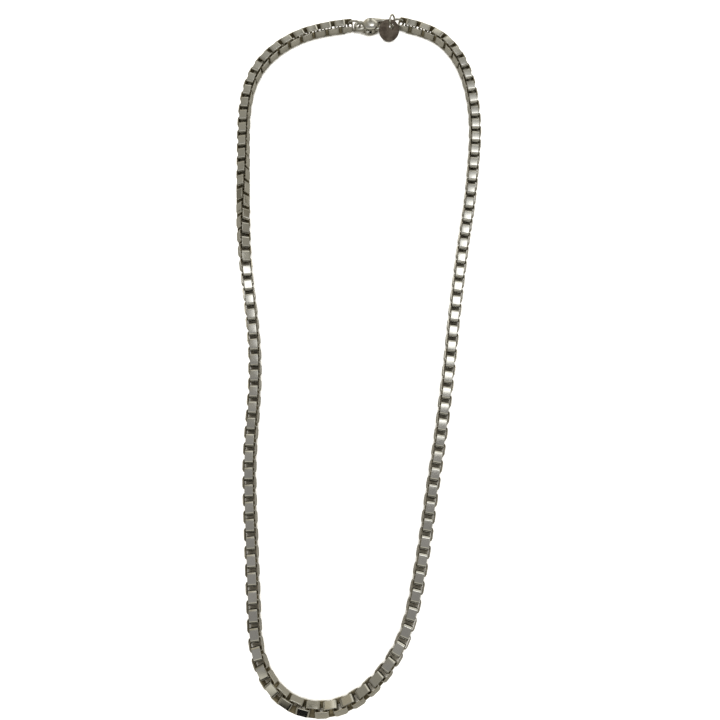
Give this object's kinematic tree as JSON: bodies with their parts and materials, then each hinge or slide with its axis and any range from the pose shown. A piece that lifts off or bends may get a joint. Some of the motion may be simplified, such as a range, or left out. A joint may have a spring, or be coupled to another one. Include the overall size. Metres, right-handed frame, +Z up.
{
  "type": "box chain necklace",
  "caption": "Loose box chain necklace laid flat in a long loop, closed by a trigger clasp with a sprung lever, with a small bare round tag.",
  "frame": {"origin": "on the table under the middle of the necklace's box", "axes": "+Y from the bottom of the loop to the clasp, +X to the right seen from above, +Z up from the table"},
  "size_m": [0.0793, 0.2176, 0.0065],
  "materials": {
    "chain_silver": "polished silver strip, dulled and browned inside the frames",
    "clasp_silver": "bright cast silver, softly polished",
    "ring_silver": "polished silver wire",
    "tag_silver": "dark toned silver with a fine brushed grain"
  },
  "bodies": {
    "root": {"chain_left": "chain_silver", "chain_right": "chain_silver", "clasp_body": "clasp_silver", "lever_pin": "clasp_silver", "clasp_ring": "ring_silver", "end_ring": "ring_silver", "tag_disc": "tag_silver", "tag_ring": "ring_silver"},
    "lever": {"clasp_lever": "clasp_silver"}
  },
  "joints": [
    {"name": "lever_hinge", "type": "hinge", "parent": "root", "child": "lever", "pos_m": [0.00383, 0.10489, 0.00185], "axis": [0, 0, 1], "range_deg": [0, 18], "stiffness_Nm_per_rad": 0.002}
  ]
}
